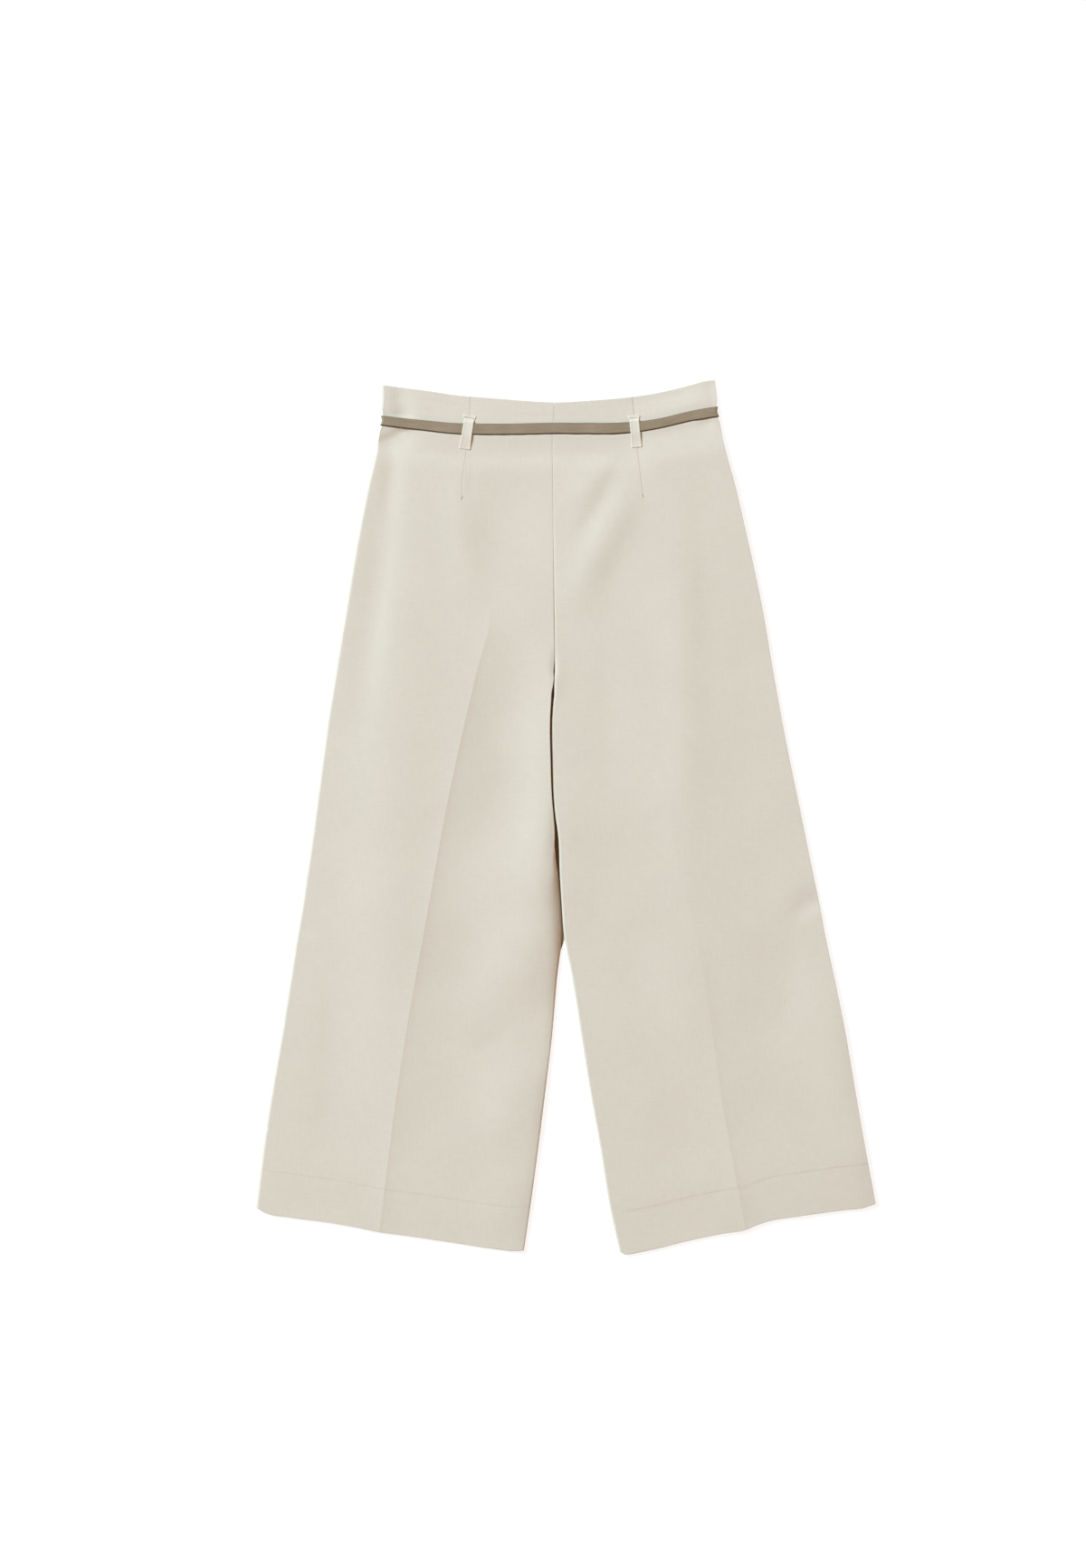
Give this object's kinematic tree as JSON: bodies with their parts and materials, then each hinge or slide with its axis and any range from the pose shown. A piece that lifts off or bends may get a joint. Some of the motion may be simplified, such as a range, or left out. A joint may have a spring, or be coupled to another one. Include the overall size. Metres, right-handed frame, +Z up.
{
  "type": "culottes laid flat with their belt",
  "caption": "Cream wide-leg cropped culottes laid flat, back side up, with a narrow taupe belt run through loops over the darts.",
  "frame": {"origin": "middle of the underside's bounding box, on the surface that the garment lies on", "axes": "+X across the garment towards the right side of the view from above, +Y from hem to waist, +Z up off the surface"},
  "size_m": [0.6499, 0.9165, 0.0118],
  "materials": {
    "cloth": "matte woven suiting, cream",
    "belt": "matte covered belt, taupe"
  },
  "bodies": {
    "root": {"back_left_panel": "cloth", "back_right_panel": "cloth", "front_left_panel": "cloth", "front_right_panel": "cloth", "belt": "belt", "belt_loop_left": "cloth", "belt_loop_right": "cloth"}
  },
  "joints": []
}
